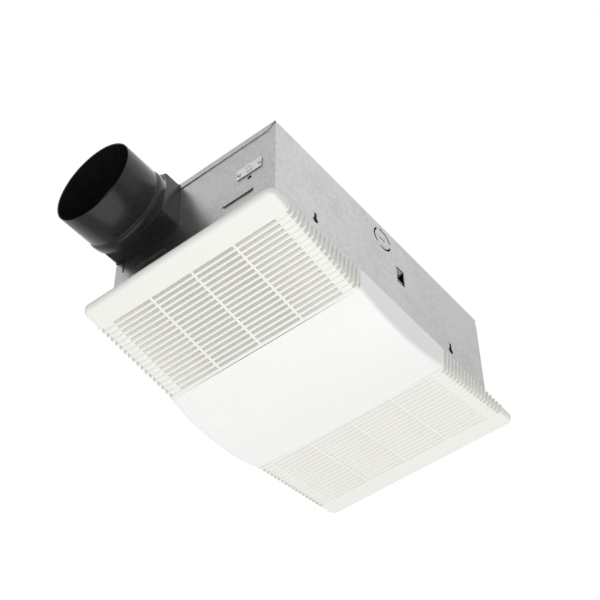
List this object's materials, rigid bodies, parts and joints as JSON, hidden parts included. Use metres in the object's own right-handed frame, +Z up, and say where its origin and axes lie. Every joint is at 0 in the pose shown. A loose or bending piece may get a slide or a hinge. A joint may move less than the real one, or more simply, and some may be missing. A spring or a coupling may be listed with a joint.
{
  "type": "bathroom heater exhaust fan",
  "caption": "Recessed bathroom unit with an exhaust fan, a fan-forced heater and a light in a steel housing, with a white louvred grille, a bowed lens and a round black duct connector.",
  "frame": {"origin": "middle of the ceiling opening, in the plane of the ceiling's underside", "axes": "+Z up into the joist space, -X towards the duct, X along the long side, -Y towards the wall with the wiring knockout"},
  "size_m": [0.4715, 0.2524, 0.1955],
  "materials": {
    "galvanised_steel": "satin",
    "bright_zinc": "gloss",
    "black_plastic": "gloss",
    "white_plastic": "satin",
    "opal_plastic": "satin",
    "motor_laminations": "satin",
    "copper_winding": "gloss",
    "spring_steel": "gloss",
    "mica_board": "matte",
    "nichrome_wire": "satin",
    "porcelain": "gloss",
    "white_enamel": "gloss",
    "frosted_glass": "matte",
    "lamp_brass": "gloss",
    "grey_wheel_plastic": "satin",
    "green_zinc": "gloss"
  },
  "bodies": {
    "housing": {"housing_shell": "galvanised_steel", "button_plate": "bright_zinc", "button_plate_screw_front": "spring_steel", "button_plate_screw_rear": "spring_steel", "duct_connector": "black_plastic", "exhaust_scroll": "galvanised_steel", "exhaust_air_plate": "galvanised_steel", "heater_scroll": "galvanised_steel", "heater_air_plate": "galvanised_steel", "element_duct": "galvanised_steel", "element_frame": "mica_board", "heating_coil": "nichrome_wire", "thermal_cutout": "black_plastic", "lamp_reflector": "white_enamel", "lamp_socket": "porcelain", "wiring_cover": "galvanised_steel", "exhaust_receptacle": "black_plastic", "light_receptacle": "black_plastic", "heater_receptacle": "black_plastic", "ground_screw": "green_zinc", "spring_bracket_duct_end": "galvanised_steel", "spring_bracket_far_end": "galvanised_steel", "exhaust_motor_core": "motor_laminations", "exhaust_motor_coil": "copper_winding", "exhaust_lower_bearing": "bright_zinc", "exhaust_upper_bearing": "bright_zinc", "exhaust_motor_mount": "galvanised_steel", "exhaust_plate_screw_front": "bright_zinc", "exhaust_plate_screw_rear": "bright_zinc", "heater_motor_core": "motor_laminations", "heater_motor_coil": "copper_winding", "heater_lower_bearing": "bright_zinc", "heater_upper_bearing": "bright_zinc", "heater_motor_mount": "galvanised_steel", "heater_plate_screw_front": "bright_zinc", "heater_plate_screw_rear": "bright_zinc"},
    "exhaust_blower": {"exhaust_wheel": "grey_wheel_plastic", "exhaust_shaft": "bright_zinc"},
    "heater_blower": {"heater_wheel": "bright_zinc", "heater_shaft": "bright_zinc"},
    "damper": {"damper_flap": "black_plastic"},
    "grille": {"grille_frame": "white_plastic", "grille_spring_duct_end": "spring_steel", "grille_spring_far_end": "spring_steel"},
    "lens_cover": {"lens": "opal_plastic"},
    "lamp": {"lamp_bulb": "frosted_glass", "lamp_cap": "lamp_brass"}
  },
  "joints": [
    {"name": "exhaust_blower_spin", "type": "hinge", "parent": "housing", "child": "exhaust_blower", "pos_m": [-0.098, 0.022, 0.08], "axis": [0, 0, 1], "continuous": true},
    {"name": "heater_blower_spin", "type": "hinge", "parent": "housing", "child": "heater_blower", "pos_m": [0.095, -0.036, 0.08], "axis": [0, 0, 1], "continuous": true},
    {"name": "damper_swing", "type": "hinge", "parent": "housing", "child": "damper", "pos_m": [-0.1854, 0.066, 0.1405], "axis": [0, 1, 0], "range_deg": [0, 60]},
    {"name": "grille_drop", "type": "slide", "parent": "housing", "child": "grille", "axis": [0, 0, -1], "range_m": [0, 0.055], "stiffness_N_per_m": 70, "springref_m": -0.16},
    {"name": "lens_snap", "type": "slide", "parent": "grille", "child": "lens_cover", "axis": [0, 0, -1], "range_m": [0, 0.04]},
    {"name": "lamp_unscrew", "type": "slide", "parent": "housing", "child": "lamp", "axis": [0, 1, 0], "range_m": [0, 0.026]}
  ]
}
